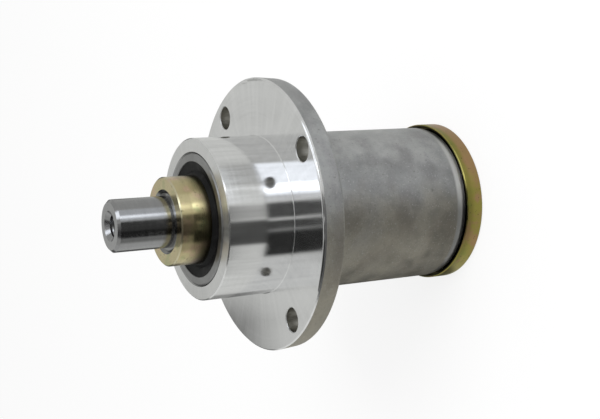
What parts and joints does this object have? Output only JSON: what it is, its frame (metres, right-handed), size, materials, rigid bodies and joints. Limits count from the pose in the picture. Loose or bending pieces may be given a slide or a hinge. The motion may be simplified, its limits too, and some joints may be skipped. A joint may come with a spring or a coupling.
{
  "type": "mower deck spindle",
  "caption": "Flanged mower deck spindle: cast aluminium housing, blade shaft in two sealed tapered roller bearings, yellow-zinc seal collar and dust cap.",
  "frame": {"origin": "centre of the flange's machined face, on the shaft's axis, at the middle of the deck bolt circle", "axes": "+Z along the shaft towards the pulley stub; +Y towards the side of the grease fitting; the deck bolt holes lie on the diagonals between X and Y"},
  "size_m": [0.138, 0.138, 0.189],
  "materials": {
    "cast_aluminium": "as-cast barrel and flange rim, turned boss and flange face",
    "ground_steel": "ground",
    "yellow_zinc": "yellow-chromated zinc plate on turned steel",
    "seal_steel": "pressed sheet",
    "seal_rubber": "moulded nitrile rubber",
    "spring_steel": "fine coiled wire",
    "bearing_steel": "hardened and ground",
    "cage_steel": "pressed sheet",
    "spacer_steel": "drawn tube, faced ends",
    "bright_zinc": "bright zinc plate"
  },
  "bodies": {
    "housing": {"spindle_housing": "cast_aluminium", "upper_seal_case": "seal_steel", "upper_seal_lip": "seal_rubber", "upper_garter_spring": "spring_steel", "lower_seal_case": "seal_steel", "lower_seal_lip": "seal_rubber", "lower_garter_spring": "spring_steel", "upper_bearing_cup": "bearing_steel", "lower_bearing_cup": "bearing_steel", "grease_fitting": "bright_zinc"},
    "shaft": {"spindle_shaft": "ground_steel", "upper_collar": "yellow_zinc", "lower_collar": "yellow_zinc", "bearing_spacer": "spacer_steel", "dust_cap": "yellow_zinc", "upper_bearing_cone": "bearing_steel", "lower_bearing_cone": "bearing_steel"},
    "upper_roller_set": {"upper_rollers": "bearing_steel", "upper_roller_cage": "cage_steel"},
    "lower_roller_set": {"lower_rollers": "bearing_steel", "lower_roller_cage": "cage_steel"},
    "check_ball": {"grease_check_ball": "bearing_steel"}
  },
  "joints": [
    {"name": "shaft_spin", "type": "hinge", "parent": "housing", "child": "shaft", "pos_m": [0, 0, 0], "axis": [0, 0, 1], "continuous": true},
    {"name": "upper_rollers_roll", "type": "hinge", "parent": "housing", "child": "upper_roller_set", "pos_m": [0, 0, 0], "axis": [0, 0, 1], "continuous": true},
    {"name": "lower_rollers_roll", "type": "hinge", "parent": "housing", "child": "lower_roller_set", "pos_m": [0, 0, 0], "axis": [0, 0, 1], "continuous": true},
    {"name": "check_ball_lift", "type": "slide", "parent": "housing", "child": "check_ball", "axis": [0, -1, 0], "range_m": [0, 0.0008], "stiffness_N_per_m": 200}
  ],
  "couplings": [
    {"joint": "upper_rollers_roll", "follows": "shaft_spin", "ratio": 0.4356},
    {"joint": "lower_rollers_roll", "follows": "shaft_spin", "ratio": 0.4356}
  ]
}
